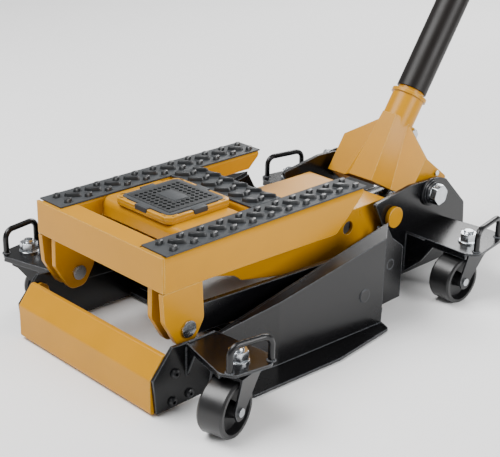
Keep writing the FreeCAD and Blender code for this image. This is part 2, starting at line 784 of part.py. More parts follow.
# --------------------------------------------------------------------------------- arm, links
def lever_pin():
    """Where the ram's trunnion pin sits on the arm, below and behind its rear pivot."""
    angle = math.radians(float(size("lever_back_angle")))
    reach = size("lever_radius")
    return (ARM_REAR[0] + reach * math.sin(angle), ARM_REAR[1] - reach * math.cos(angle))


def lift_arm():
    """Folded lift arm: a wide inverted channel from its rear shaft to the platform's front pin."""
    half = size("arm_half")
    trunnion = lever_pin()
    bush = 28
    outline = [
        (84, 132, 12), (84, 163, 12), (200, 158), (440, 150), (512, 150, 12), (532, 112, 20),
        (538, 74, 14), (520, 56, 14), (496, 62, 10), (470, 94, 20), (340, 74, 60), (246, 92), (192, 104),
        (178, 115), (147, 124), (118, 130),
    ]
    holes = [
        (*ARM_FRONT, bush), (*ARM_REAR, size("arm_shaft_dia")), (*trunnion, size("trunnion_dia")),
        (420, 122, 22),
    ]
    outer = extruded("arm_outer", "YZ", outline, -half, half, holes)
    inside = half - PLATE
    hollow = extruded("arm_hollow", "YZ", [
        (89, 40), (89, 158), (200, 153), (440, 145), (570, 145), (570, 40),
    ], -inside, inside)
    pegs = [
        cylinder("spring_peg_right", (SPRING_X - 7, *SPRING_TOP), "x", half - SPRING_X + 5, 8),
        cylinder("spring_peg_left", (7 - SPRING_X, *SPRING_TOP), "-x", half - SPRING_X + 5, 8),
    ]
    node(fuse("arm_with_pegs", [cut("arm_channel", outer, [hollow])] + pegs), "lift_arm")
    reach = REAR_X + HEAVY + 8
    shaft = cylinder("arm_shaft_bar", (-reach, *ARM_REAR), "x", reach * 2, size("arm_shaft_dia"))
    face = REAR_X + HEAVY + SIDE_GAP
    caps = [
        cylinder("shaft_cap_right", (face, *ARM_REAR), "x", 8 - SIDE_GAP, size("shaft_cap_dia")),
        cylinder("shaft_cap_left", (-face, *ARM_REAR), "-x", 8 - SIDE_GAP, size("shaft_cap_dia")),
    ]
    node(fuse("arm_shaft_capped", [shaft] + caps), "arm_shaft")
    tube = cylinder("front_bush_tube", (-half, *ARM_FRONT), "x", half * 2, bush)
    bore = cylinder("front_bush_bore", (-half - 1, *ARM_FRONT), "x", half * 2 + 2,
                    size("front_pin_dia") + RUN * 2)
    node(cut("front_bush", tube, [bore]), "arm_front_bush")
    node(cylinder("trunnion_bar", (-half, *trunnion), "x", half * 2, size("trunnion_dia")),
         "arm_trunnion_pin")


def lower_links():
    """Flat lower links that keep the platform level."""
    near = size("link_x")
    far = near + size("ear_thick")
    depth = size("link_depth")
    length = float(size("arm_length"))
    bar = extruded("link_bar", "YZ", [
        (0, -depth / 2), (length, -depth / 2), (length, depth / 2), (0, depth / 2),
    ], near, far)
    ends = [cylinder("link_end_front", (near, 0, 0), "x", size("ear_thick"), depth),
            cylinder("link_end_rear", (near, length, 0), "x", size("ear_thick"), depth)]
    bores = [
        cylinder("link_bore_front", (near - 1, 0, 0), "x", size("ear_thick") + 2,
                 size("link_pin_dia") + RUN * 2),
        cylinder("link_bore_rear", (near - 1, length, 0), "x", size("ear_thick") + 2,
                 size("link_rear_pin_dia") + RUN * 2),
    ]
    link = cut("link_bored", fuse("link_blank", [bar] + ends), bores)
    slope = math.degrees(math.asin(float(size("arm_rise")) / length))
    node(link, "right_link", (0, LINK_FRONT[0], LINK_FRONT[1]), Rotation(Vector(1, 0, 0), -slope))
    node(mirrored("left_link_mirror", link), "left_link", shift=False)


# --------------------------------------------------------------------------------- hydraulics
def hydraulics():
    """Power unit with its ram, plunger pump and release valve."""
    axis = size("ram_axis_z")
    front = size("ram_cylinder_front")
    rod = size("ram_rod_dia")
    barrel = size("ram_cylinder_dia")
    plunger_y = HANDLE_PIVOT[0] + 24
    block = box("pump_block", (-38, 604, FLOOR_GAP + HEAVY), (38, 662, 106))
    block_round = cylinder("pump_tower", (0, plunger_y, 100), "z", 14, 34)
    tank = cylinder("reservoir_jacket", (0, front + 6, axis), "y", 46, 84)
    unit = cut("power_unit_cut", fuse("power_unit_blank", [block, block_round, tank]), [
        cylinder("ram_seat", (0, front - 1, axis), "y", 57, barrel),
        cylinder("plunger_bore", (0, plunger_y, 86), "z", 40, size("plunger_dia") + RUN * 2),
        cylinder("valve_seat", (0, 640, 44), "y", 40, 14 + RUN * 2),
        cylinder("filler_seat", (26, 650, 96), "z", 20, 10),
    ])
    node(unit, "power_unit")
    tube = cylinder("ram_barrel", (0, front, axis), "y", 56, barrel)
    bore = cylinder("ram_bore", (0, front - 1, axis), "y", 56, rod + RUN * 2)
    node(cut("ram_cylinder_bored", tube, [bore]), "ram_cylinder")
    plug = fuse("filler_plug_whole", [
        cylinder("filler_stem", (26, 650, 96), "z", 10, 10),
        hexagon("filler_head", (26, 650, 106), "z", 5, 14),
    ])
    node(plug, "filler_plug")

    trunnion = lever_pin()
    back = 30
    yoke_y = trunnion[0]
    pin = size("trunnion_dia")
    body = extruded("yoke_block", "YZ", [
        (yoke_y - 20, axis - 24, 8), (yoke_y + back, axis - 24, 4), (yoke_y + back, axis + 24, 4),
        (yoke_y - 20, axis + 24, 8),
    ], -20, 20)
    slot = extruded("yoke_slot", "YZ", [
        (yoke_y - pin / 2 - 1, axis - 14), (yoke_y + pin / 2 + 1, axis - 14),
        (yoke_y + pin / 2 + 1, axis + 14), (yoke_y - pin / 2 - 1, axis + 14),
    ], -30, 30)
    node(cut("yoke_slotted", body, [slot]), "ram_yoke")
    node(cylinder("rod_bar", (0, yoke_y + back, axis), "y", 56, rod), "ram_rod")

    plunger_top = HANDLE_PIVOT[1] + 2.6 - size("roller_dia") / 2 - 1
    stem = cylinder("plunger_stem", (0, plunger_y, 88.5 + 18), "z", plunger_top - 3 - 88.5 - 18,
                    size("plunger_dia"))
    cap = cylinder("plunger_cap", (0, plunger_y, plunger_top - 3), "z", 3, 24)
    node(fuse("plunger_whole", [stem, cap]), "pump_plunger")
    valve = fuse("valve_whole", [
        cylinder("valve_stem", (0, 645, 44), "y", 34, 14),
        hexagon("valve_knob", (0, 665, 44), "y", 12, 22),
    ])
    node(valve, "release_valve")


def return_springs():
    """Two extension springs draw the arm down, from the tie bar to pins on the arm's webs."""
    slope = math.atan2(SPRING_TOP[1] - SPRING_FOOT[1], SPRING_TOP[0] - SPRING_FOOT[0])
    reach = math.hypot(SPRING_TOP[1] - SPRING_FOOT[1], SPRING_TOP[0] - SPRING_FOOT[0])
    gap = 7
    springs = []
    for side in (1, -1):
        tag = "right" if side > 0 else "left"
        coil = cylinder(f"spring_coil_{tag}", (0, gap, 0), "y", reach - gap * 2, 16)
        core = cylinder(f"spring_core_{tag}", (0, gap - 1, 0), "y", reach - gap * 2 + 2, 10)
        spring = cut(f"spring_{tag}", coil, [core])
        place(spring, (SPRING_X * side, *SPRING_FOOT), Rotation(Vector(1, 0, 0), math.degrees(slope)))
        springs.append(spring)
    node(group("spring_pair", springs), "return_springs")


# ------------------------------------------------------------------------------------- handle
def on_handle(item, name):
    """Place a piece that is drawn about the handle pivot, leaning back with the handle."""
    lean = Rotation(Vector(1, 0, 0), -float(size("handle_lean")))
    return node(item, name, (0, *HANDLE_PIVOT), lean)


def handle_socket():
    """Welded socket: two ears, a wide faceted front and the tube that holds the handle."""
    half = size("socket_half")
    axis = -size("handle_axis_offset")
    low = -22.5
    shoulder = 45
    pivot = [(0, 0, size("pivot_bolt_dia") + RUN * 2)]
    ear = [(axis, low), (axis, shoulder), (47, 42, 6), (38, -8, 10), (14, -25, 8)]
    ears = [
        extruded("ear_right", "YZ", ear, half - PLATE, half, pivot),
        extruded("ear_left", "YZ", ear, -half, PLATE - half, pivot),
    ]
    wings = extruded("socket_wings", "XZ", [
        (-half, low), (half, low), (half, shoulder), (26, 92), (-26, 92), (-half, shoulder),
    ], axis - PLATE, axis)
    body = doc.addObject("PartDesign::Body", "socket_bulge")
    lower = sketch_outline(body, "bulge_low", "XY", [
        (-50, axis - PLATE), (-24, axis - 29), (24, axis - 29), (50, axis - PLATE),
    ], low)
    upper = sketch_outline(body, "bulge_high", "XY", [
        (-26, axis - PLATE), (-14, axis - 29), (14, axis - 29), (26, axis - PLATE),
    ], 96)
    loft = body.newObject("PartDesign::AdditiveLoft", "bulge_loft")
    loft.Profile = lower
    loft.Sections = [upper]
    loft.Ruled = True
    doc.recompute()
    tube = cylinder("socket_tube", (0, axis, 36), "z", 107, size("socket_tube_dia"))
    collar = cylinder("socket_collar", (0, axis, 137), "z", 6, size("socket_tube_dia") + 6)
    brackets = [
        extruded("roller_bracket_right", "YZ", ROLLER_BRACKET, 12.5, 17.5),
        extruded("roller_bracket_left", "YZ", ROLLER_BRACKET, -17.5, -12.5),
    ]
    boss = cylinder("set_bolt_boss", (10, axis + 12, 80), "x", 19, 24)
    blank = fuse("socket_blank", ears + [wings, body, tube, collar, boss] + brackets)
    bore = cylinder("socket_bore", (0, axis, 37), "z", 110, size("handle_tube_dia") + RUN * 2)
    roller_hole = cylinder("roller_hole", (-20, *ROLLER), "x", 40, 8)
    on_handle(cut("socket_bored", blank, [bore, roller_hole]), "handle_socket")


ROLLER = (19.1, 16.2)
ROLLER_BRACKET = [(-24, -6), (-24, 26), (19, 30), (27, 20), (27, 12), (12, 4)]


def handle_parts():
    """Pump roller, socket bolts, handle tube, sleeve and grip."""
    axis = -size("handle_axis_offset")
    tube_dia = size("handle_tube_dia")
    roller = fuse("roller_whole", [
        cylinder("roller_body", (-12, *ROLLER), "x", 24, size("roller_dia")),
        cylinder("roller_pin", (-19, *ROLLER), "x", 38, 8),
    ])
    on_handle(roller, "pump_roller")
    bolts = [
        hexagon("set_bolt", (29, axis + 12, 80), "x", 7, 17),
        cylinder("wing_bolt_right", (size("socket_half"), 14, 36), "x", 3.5, 9),
        cylinder("wing_bolt_left", (-size("socket_half"), 14, 36), "-x", 3.5, 9),
    ]
    on_handle(group("socket_bolt_set", bolts), "socket_bolts")
    end = size("handle_end")
    outer = cylinder("handle_outer", (0, axis, 38), "z", end - 38, tube_dia)
    inner = cylinder("handle_inner", (0, axis, 30), "z", end, tube_dia - 7)
    on_handle(cut("handle_bored", outer, [inner]), "handle_tube")
    sleeve = cylinder("sleeve_outer", (0, axis, 150), "z", 600, size("handle_sleeve_dia"))
    sleeve_bore = cylinder("sleeve_bore", (0, axis, 149), "z", 602, tube_dia)
    on_handle(cut("sleeve_bored", sleeve, [sleeve_bore]), "handle_sleeve")
    grip = fuse("grip_blank", [
        cylinder("grip_outer", (0, axis, end - 160), "z", 163, 51),
        cylinder("grip_flange", (0, axis, end - 160), "z", 6, 58),
    ])
    grip_bore = cylinder("grip_bore", (0, axis, end - 161), "z", 161, tube_dia)
    on_handle(cut("grip_bored", grip, [grip_bore]), "handle_grip")


# -------------------------------------------------------------------------------------- build
side_plates()
frame_rails()
rear_plates()
front_bar()
front_bar_bolts()
cross_members()
outriggers()
carry_loops()
caster_studs()
pivot_hardware()
casters()
platform_rails()
platform_crossmembers()
clevis_ears()
platform_pins()
pads_and_saddle()
lift_arm()
lower_links()
hydraulics()
return_springs()
handle_socket()
handle_parts()
doc.recompute()

for item in doc.Objects:
    if "Invalid" in item.State or "Error" in item.State:
        raise RuntimeError(f"{item.Label} failed: {item.State}")
os.makedirs("parts", exist_ok=True)
for item in nodes:
    shape = item.Shape
    if shape.isNull() or not shape.isValid() or not shape.Solids:
        raise RuntimeError(f"{item.Label} has no valid solid")
    shape.exportStep(f"parts/{item.Label}.step")
    bounds = shape.BoundBox
    print(f"{item.Label:24s} solids {len(shape.Solids)} volume {shape.Volume:11.0f} "
          f"x {bounds.XMin:7.1f} {bounds.XMax:7.1f} y {bounds.YMin:7.1f} {bounds.YMax:7.1f} "
          f"z {bounds.ZMin:7.1f} {bounds.ZMax:7.1f}")
whole = Part.makeCompound([item.Shape for item in nodes]).BoundBox
print(f"{len(nodes)} sub-parts, x {whole.XMin:.1f} {whole.XMax:.1f} y {whole.YMin:.1f} {whole.YMax:.1f} "
      f"z {whole.ZMin:.1f} {whole.ZMax:.1f}")
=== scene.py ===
"""Platform trolley jack: the finishes, rubber treads, springs, fasteners and welds of the jack."""
import json
import math

import bmesh
import bpy
from bpy.props import FloatProperty, FloatVectorProperty, IntProperty, PointerProperty
from mathutils import Matrix, Vector


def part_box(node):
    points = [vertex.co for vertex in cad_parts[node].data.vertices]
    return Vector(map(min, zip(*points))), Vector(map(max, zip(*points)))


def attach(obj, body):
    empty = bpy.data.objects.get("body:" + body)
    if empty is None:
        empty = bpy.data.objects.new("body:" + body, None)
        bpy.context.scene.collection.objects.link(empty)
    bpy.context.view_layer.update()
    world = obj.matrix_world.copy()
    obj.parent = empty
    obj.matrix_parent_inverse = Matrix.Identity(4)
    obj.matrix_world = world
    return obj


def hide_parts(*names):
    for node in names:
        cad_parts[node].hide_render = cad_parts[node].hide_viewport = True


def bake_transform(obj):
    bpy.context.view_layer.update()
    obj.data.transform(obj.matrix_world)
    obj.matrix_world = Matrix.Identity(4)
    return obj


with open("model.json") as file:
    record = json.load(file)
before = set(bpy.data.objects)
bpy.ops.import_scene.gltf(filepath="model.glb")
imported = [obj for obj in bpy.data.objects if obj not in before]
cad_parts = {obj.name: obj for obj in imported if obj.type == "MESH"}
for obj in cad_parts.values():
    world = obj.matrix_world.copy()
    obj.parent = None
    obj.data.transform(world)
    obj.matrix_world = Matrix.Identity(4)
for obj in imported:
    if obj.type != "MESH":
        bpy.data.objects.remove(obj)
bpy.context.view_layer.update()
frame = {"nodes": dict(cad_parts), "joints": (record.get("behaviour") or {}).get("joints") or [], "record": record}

bl_info = {
    "name": "Platform Jack",
    "version": (1, 0, 0),
    "blender": (4, 5, 0),
    "location": "View3D > Sidebar > Jack",
    "description": "Builds the visible pieces of a platform trolley jack around its frame",
    "category": "Object",
}

MM = 0.001
CHASSIS_SHIFT = -598.9 * MM     # the frame's origin lies this far behind the platform's front face
UNTURNED = Matrix.Identity(4)
RIGHT_AND_LEFT = (1, -1)


def hex_colour(text):
    """An sRGB hex colour as linear RGBA."""
    channels = [int(text[place:place + 2], 16) / 255 for place in (0, 2, 4)]
    linear = [c / 12.92 if c <= 0.04045 else ((c + 0.055) / 1.055) ** 2.4 for c in channels]
    return (*linear, 1.0)


def colour_property(name, description, text):
    return FloatVectorProperty(name=name, description=description, size=4, min=0.0, max=1.0,
                               subtype="COLOR", default=hex_colour(text))


def length_property(name, description, millimetres):
    return FloatProperty(name=name, description=description, default=millimetres * MM, min=0.0,
                         unit="LENGTH", subtype="DISTANCE", precision=4)


class JackColours(bpy.types.PropertyGroup):
    ochre: colour_property("Ochre enamel", "Paint of the platform, arm, front bar and socket",
                           "B67E00")
    black: colour_property("Black powder coat", "Paint of the chassis and the caster arms",
                           "08080A")
    fork: colour_property("Caster black", "Paint of the caster forks", "131315")
    # sheet and lugs are one rubber: the paler sheet is painted sheen and the darker lugs are painted shade
    rubber: colour_property("Rubber sheet", "Flat parts of the treads", "2A2D30")
    lug: colour_property("Rubber lugs", "Raised parts of the treads", "1C1E20")
    zinc: colour_property("Zinc plate", "Nuts, bolts and rivets", "C4C8CC")
    steel: colour_property("Ground steel", "Rods and pins of the hydraulics", "A7A9AB")
    nylon: colour_property("Nylon", "Caster wheels", "0E0E0F")
    sleeve: colour_property("Handle sleeve", "Vinyl sleeve on the handle", "120E0C")
    floor: colour_property("Floor", "Studio floor", "F6F6F6")


class JackSizes(bpy.types.PropertyGroup):
    sheet_thick: length_property("Tread sheet", "Thickness of a tread's flat sheet", 2.6)
    lug_pitch: length_property("Lug pitch", "Distance from one row of lugs to the next", 35.0)
    cross_pitch: length_property("Cross pitch", "Distance between lugs along the cross tread", 29.0)
    button_long: length_property("Button length", "Length of an oval button", 14.5)
    button_wide: length_property("Button width", "Width of an oval button", 8.8)
    tadpole_long: length_property("Tadpole length", "Length of the long lug between the buttons",
                                  25.0)
    tadpole_wide: length_property("Tadpole width", "Width of the long lug's head", 11.0)
    pit_pitch: length_property("Pit pitch", "Side of one square of the insert's diamond pattern",
                               6.0)
    spring_wire: length_property("Spring wire", "Diameter of the return springs' wire", 2.4)
    spring_width: length_property("Spring width", "Outside diameter of the return springs", 15.8)
    weld_radius: length_property("Weld radius", "Half the width of a weld bead", 2.0)
    thread_pitch: length_property("Thread pitch", "Pitch of the stud threads", 2.0)
    grip_ribs: IntProperty(name="Grip ribs", description="Rings moulded into the handle grip",
                           default=14, min=4, max=40)


class JackStudio(bpy.types.PropertyGroup):
    sky: FloatProperty(name="Sky", description="Strength of the even studio light", default=0.42,
                       min=0.0)
    key: FloatProperty(name="Key light", description="Power of the large light above",
                       default=150.0, min=0.0, unit="POWER")
    side: FloatProperty(name="Side light", description="Power of the light on the right",
                        default=75.0, min=0.0, unit="POWER")
    focal: FloatProperty(name="Focal length", description="Camera focal length in millimetres",
                         default=82.14, min=10.0)


# ------------------------------------------------------------------------------------ finishes
def add(tree, kind, inputs=None, **settings):
    """Add a node; each input takes a value, or the output socket that feeds it."""
    made = tree.nodes.new(kind)
    for name, value in settings.items():
        setattr(made, name, value)
    for name, value in (inputs or {}).items():
        if isinstance(value, bpy.types.NodeSocket):
            tree.links.new(value, made.inputs[name])
        else:
            made.inputs[name].default_value = value
    return made


def per_metre(millimetres):
    """A texture scale whose features are this many millimetres across."""
    return 1.0 / (millimetres * MM)


def finish(name, colour, roughness, metallic=0.0, ior=1.5, coat=0.0, grain_mm=1.2, grain_depth=0.02,
           blotch_mm=90.0, blotch=0.10, edge_mm=1.2, smudge=0.12, brush=None, edge_highlight_tint=None,
           specular=0.5):
    """A surface with a fine grain, broad shade variation, uneven gloss and rounded edges; an edge tint adds a
    painted highlight along the edges.
    """
    material = bpy.data.materials.new(name)
    material.use_nodes = True
    tree = material.node_tree
    tree.nodes.clear()
    place = add(tree, "ShaderNodeTexCoord").outputs["Object"]
    if brush:
        place = add(tree, "ShaderNodeMapping", {"Vector": place, "Scale": brush}).outputs["Vector"]
    broad = add(tree, "ShaderNodeTexNoise",
                {"Vector": place, "Scale": per_metre(blotch_mm), "Detail": 4.0, "Roughness": 0.6})
    shade = add(tree, "ShaderNodeMapRange", {
        "Value": broad.outputs["Fac"], "From Min": 0.3, "From Max": 0.7, "To Min": 1.0 - blotch,
        "To Max": 1.0 + blotch})
    tint = add(tree, "ShaderNodeVectorMath", {0: colour[:3], "Scale": shade.outputs["Result"]},
               operation="SCALE")
    base = tint.outputs["Vector"]
    round_edge = add(tree, "ShaderNodeBevel", {"Radius": edge_mm * MM}, samples=4)
    if edge_highlight_tint:
        # paler edges: a painted highlight standing in for the sheen on rounded folds, with a little wear; drawn
        # where the rounded normal leaves the flat one, broken up by a fine noise
        flat = add(tree, "ShaderNodeNewGeometry").outputs["Normal"]
        lean = add(tree, "ShaderNodeVectorMath",
                   {0: flat, 1: round_edge.outputs["Normal"]}, operation="DOT_PRODUCT")
        edge_breakup = add(tree, "ShaderNodeTexNoise",
                    {"Vector": place, "Scale": per_metre(6.0), "Detail": 6.0})
        sharp = add(tree, "ShaderNodeMapRange", {
            "Value": lean.outputs["Value"], "From Min": 0.985, "From Max": 0.90, "To Min": 0.0,
            "To Max": 0.75})
        highlight_and_wear = add(tree, "ShaderNodeMath", {0: sharp.outputs["Result"], 1: edge_breakup.outputs["Fac"]},
                   operation="MULTIPLY")
        mixed = add(tree, "ShaderNodeMix", {"Factor": highlight_and_wear.outputs["Value"], "A": base,
                                            "B": edge_highlight_tint}, data_type="RGBA")
        base = mixed.outputs["Result"]
    fine = add(tree, "ShaderNodeTexNoise",
               {"Vector": place, "Scale": per_metre(grain_mm), "Detail": 2.0})
    bump = add(tree, "ShaderNodeBump", {
        "Height": fine.outputs["Fac"], "Strength": 1.0, "Distance": grain_depth * MM,
        "Normal": round_edge.outputs["Normal"]})
    gloss = add(tree, "ShaderNodeMapRange", {
        "Value": broad.outputs["Fac"], "From Min": 0.25, "From Max": 0.75,
        "To Min": roughness * (1.0 - smudge), "To Max": roughness * (1.0 + smudge)})
    values = {"Base Color": base, "Roughness": gloss.outputs["Result"], "Metallic": metallic,
              "Normal": bump.outputs["Normal"], "Coat Weight": coat, "Coat Roughness": 0.12,
              "Specular IOR Level": specular}
    if not metallic:
        values["IOR"] = ior
    shader = add(tree, "ShaderNodeBsdfPrincipled", values)
    add(tree, "ShaderNodeOutputMaterial", {"Surface": shader.outputs["BSDF"]})
    return material


def make_finishes(colours):
    """Every finish of the jack, under the record's name for its slot."""
    # the edge tints are painted highlights: paler edges standing in for the sheen that rounded folds catch, with a
    # little wear
    pale_edge_highlight = hex_colour("F0CE84")
    grey_edge_highlight = hex_colour("84888E")
    return {
        # stoved enamel on sheet steel: glossy, faint orange peel, the folds paled by a painted highlight
        "yellow_paint": finish("Stoved ochre enamel", colours.ochre, 0.3, grain_mm=2.2,
                               grain_depth=0.012, blotch=0.05, edge_mm=2.5,
                               edge_highlight_tint=pale_edge_highlight, specular=0.22),
        # polyester powder coat: deep gloss black with a fine pebble, its edges greyed as a painted highlight
        "black_paint": finish("Black powder coat", colours.black, 0.26, grain_mm=1.6,
                              grain_depth=0.012,
                              blotch=0.15, edge_mm=2.6, edge_highlight_tint=grey_edge_highlight, specular=0.4),
        # black oxide on steel: thin, satin, slightly blue
        "black_fasteners": finish("Black oxide steel", hex_colour("1B1C1F"), 0.38, coat=0.0,
                                  grain_mm=0.8, grain_depth=0.01, edge_mm=0.6),
        # bright zinc plate: clean metal with a soft cloudy lustre
        "zinc_steel": finish("Bright zinc plate", colours.zinc, 0.24, metallic=1.0, grain_mm=0.7,
                             grain_depth=0.006, blotch_mm=14.0, blotch=0.12, edge_mm=0.5,
                             smudge=0.3),
        # centreless-ground steel: fine lines round the rod
        "machined_steel": finish("Ground steel", colours.steel, 0.3, metallic=1.0, grain_mm=1.0,
                                 grain_depth=0.008, brush=(1.0, 0.08, 1.0), edge_mm=0.5,
                                 smudge=0.2),
        # dip-painted pressed steel, a little duller than the chassis, its edges greyed as a painted highlight
        "caster_black": finish("Dipped caster black", colours.fork, 0.38, coat=0.1, grain_mm=1.4,
                               grain_depth=0.02, edge_mm=1.0, edge_highlight_tint=grey_edge_highlight),
        # injection-moulded nylon: satin, faint flow lines
        "wheel_plastic": finish("Moulded black nylon", colours.nylon, 0.36, ior=1.53, grain_mm=0.9,
                                grain_depth=0.012, blotch_mm=20.0, edge_mm=0.8),
        # compression-moulded rubber sheet: matt, its grey painted paler than the lugs as the sheen the flat sheet
        # catches
        "pad_rubber": finish("Moulded rubber sheet", colours.rubber, 0.62, ior=1.52, grain_mm=0.9,
                             grain_depth=0.05, blotch_mm=30.0, blotch=0.12, edge_mm=0.6),
        # the lugs are polished by the mould, so glossier than the sheet; their darker colour is painted shade on
        # the same rubber
        "shaded_lug_rubber": finish("Polished rubber lugs", colours.lug, 0.36, ior=1.52, grain_mm=0.7,
                             grain_depth=0.02, blotch_mm=12.0, blotch=0.10, edge_mm=0.5),
        # dipped vinyl sleeve: dark brown-black, semi-gloss
        "sleeve_black": finish("Vinyl handle sleeve", colours.sleeve, 0.42, ior=1.5, specular=0.25,
                               grain_mm=1.3, grain_depth=0.02, blotch_mm=60.0, edge_mm=0.8),
        "grip_rubber": finish("Ribbed rubber grip", hex_colour("1A1A1B"), 0.55, ior=1.52,
                              grain_mm=0.8, grain_depth=0.04, edge_mm=0.5),
        # oil-tempered spring wire: dark bluish steel
        "spring_wire": finish("Spring wire", hex_colour("6F7276"), 0.35, metallic=1.0, grain_mm=0.8,
                              grain_depth=0.006, edge_mm=0.3),
    }


FINISHES = {}


# ------------------------------------------------------------------------------- mesh helpers
def new_piece(bm, name, body, finishes, replaced=(), sharp=35.0):
    """Close a bmesh into an object that rides on a body of the frame."""
    bmesh.ops.remove_doubles(bm, verts=bm.verts, dist=0.002 * MM)
    bmesh.ops.recalc_face_normals(bm, faces=bm.faces)
    mesh = bpy.data.meshes.new(name)
    bm.to_mesh(mesh)
    bm.free()
    for key in finishes:
        mesh.materials.append(FINISHES[key])
    mesh.shade_smooth()
    mesh.set_sharp_from_angle(angle=math.radians(sharp))
    piece = bpy.data.objects.new(name, mesh)
    bpy.context.scene.collection.objects.link(piece)
    if body:
        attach(piece, body)
    if replaced:
        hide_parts(*replaced)
    return piece


def stamp(target, shape, place, finish_number=0):
    """Copy a small shape into a larger mesh at a place."""
    for face in shape.faces:
        face.material_index = finish_number
    mesh = bpy.data.meshes.new("stamp")
    shape.to_mesh(mesh)
    mesh.transform(place)
    target.from_mesh(mesh)
    bpy.data.meshes.remove(mesh)


def block(low, high, edge=0.0, segments=2):
    """A block between two corners with rounded edges."""
    bm = bmesh.new()
    low, high = Vector(low), Vector(high)
    bmesh.ops.create_cube(bm, size=1.0)
    bmesh.ops.scale(bm, vec=high - low, verts=bm.verts)
    bmesh.ops.translate(bm, vec=(low + high) / 2, verts=bm.verts)
    if edge:
        bmesh.ops.bevel(bm, geom=list(bm.edges), offset=edge, segments=segments, profile=0.5,
                        affect="EDGES", material=-1)
    return bm


def rounded_slab(width, depth, low, high, corner, edge, segments=5):
    """A square slab with round corners and a rounded top edge, about the Z axis."""
    bm = bmesh.new()
    bmesh.ops.create_cube(bm, size=1.0)
    bmesh.ops.scale(bm, vec=(width, depth, high - low), verts=bm.verts)
    bmesh.ops.translate(bm, vec=(0, 0, (low + high) / 2), verts=bm.verts)
    upright = [e for e in bm.edges if abs(e.verts[0].co.z - e.verts[1].co.z) > 1e-6]
    bmesh.ops.bevel(bm, geom=upright, offset=corner, segments=segments, profile=0.5,
                    affect="EDGES", material=-1)
    if edge:
        rim = [e for e in bm.edges if all(abs(v.co.z - high) < 1e-6 for v in e.verts)]
        bmesh.ops.bevel(bm, geom=rim, offset=edge, segments=3, profile=0.5, affect="EDGES",
                        material=-1)
    return bm


def turned(profile, steps=32):
    """A solid turned about Z from (radius, height) points in metres, from axis to axis."""
    bm = bmesh.new()
    points = [bm.verts.new((radius, 0, height)) for radius, height in profile]
    lines = [bm.edges.new(pair) for pair in zip(points, points[1:])]
    bmesh.ops.spin(bm, geom=points + lines, cent=(0, 0, 0), axis=(0, 0, 1), angle=math.tau,
                   steps=steps, use_merge=True)
    bmesh.ops.remove_doubles(bm, verts=bm.verts, dist=0.005 * MM)
    bmesh.ops.recalc_face_normals(bm, faces=bm.faces)
    return bm


def hex_head(across_flats, tall, chamfer):
    """A hexagon standing on the XY plane, its top corners chamfered."""
    bm = bmesh.new()
    radius = across_flats / math.sqrt(3)
    bmesh.ops.create_cone(bm, cap_ends=True, segments=6, radius1=radius, radius2=radius, depth=tall)
    bmesh.ops.translate(bm, vec=(0, 0, tall / 2), verts=bm.verts)
    top = [v for v in bm.verts if v.co.z > tall / 2]
    bmesh.ops.bevel(bm, geom=top, offset=chamfer, segments=1, profile=0.5, affect="VERTICES",
                    material=-1)
    bmesh.ops.bevel(bm, geom=list(bm.edges), offset=0.35 * MM, segments=1, profile=0.5,
                    affect="EDGES", material=-1)
    return bm


def lug(long, wide, tall, taper=()):
    """A rubber lug standing on the XY plane; a taper narrows it past a share of its length."""
    bm = bmesh.new()
    bmesh.ops.create_circle(bm, cap_ends=True, segments=20, radius=0.5)
    bmesh.ops.scale(bm, vec=(long, wide, 1.0), verts=bm.verts)
    for share, narrow in taper:
        beyond = [v for v in bm.verts if v.co.x > share * long]
        bmesh.ops.scale(bm, vec=(1.0, narrow, 1.0), verts=beyond)
    lifted = bmesh.ops.extrude_face_region(bm, geom=bm.faces[:], use_keep_orig=True)["geom"]
    top = [item for item in lifted if isinstance(item, bmesh.types.BMVert)]
    bmesh.ops.translate(bm, vec=(0, 0, tall), verts=top)
    bmesh.ops.scale(bm, vec=(0.92, 0.88, 1.0), verts=top)
    rim = [e for e in bm.edges if all(v.co.z > tall / 2 for v in e.verts)]
    bmesh.ops.bevel(bm, geom=rim, offset=min(1.1 * MM, wide * 0.2), segments=2, profile=0.5,
                    affect="EDGES", material=-1)
    return bm


def at(x, y, z, turn=0.0):
    """A place on the frame, turned about Z by degrees."""
    return Matrix.Translation((x, y, z)) @ Matrix.Rotation(math.radians(turn), 4, "Z")


def chassis(x, y, z):
    """A point in millimetres, measured from the platform's front face, in the frame."""
    return Vector((x * MM, y * MM + CHASSIS_SHIFT, z * MM))


def toward(point, direction):
    """A place at a point whose Z axis lies along a direction."""
    spin = Vector((0, 0, 1)).rotation_difference(Vector(direction))
    return Matrix.Translation(point) @ spin.to_matrix().to_4x4()


# -------------------------------------------------------------------------------------- pieces
# one repeat of each tread: lug, mm off the middle line, share of the pitch, turn in degrees
RAIL_LUGS = [("button", -11, 0.53, 105), ("button", 15, 0.56, 105), ("tadpole", 2, 0.06, 43)]
CROSS_LUGS = [("tadpole", 17, 0.5, 34), ("button", 0, 0.6, 105), ("tadpole", -17, 0.45, 34)]


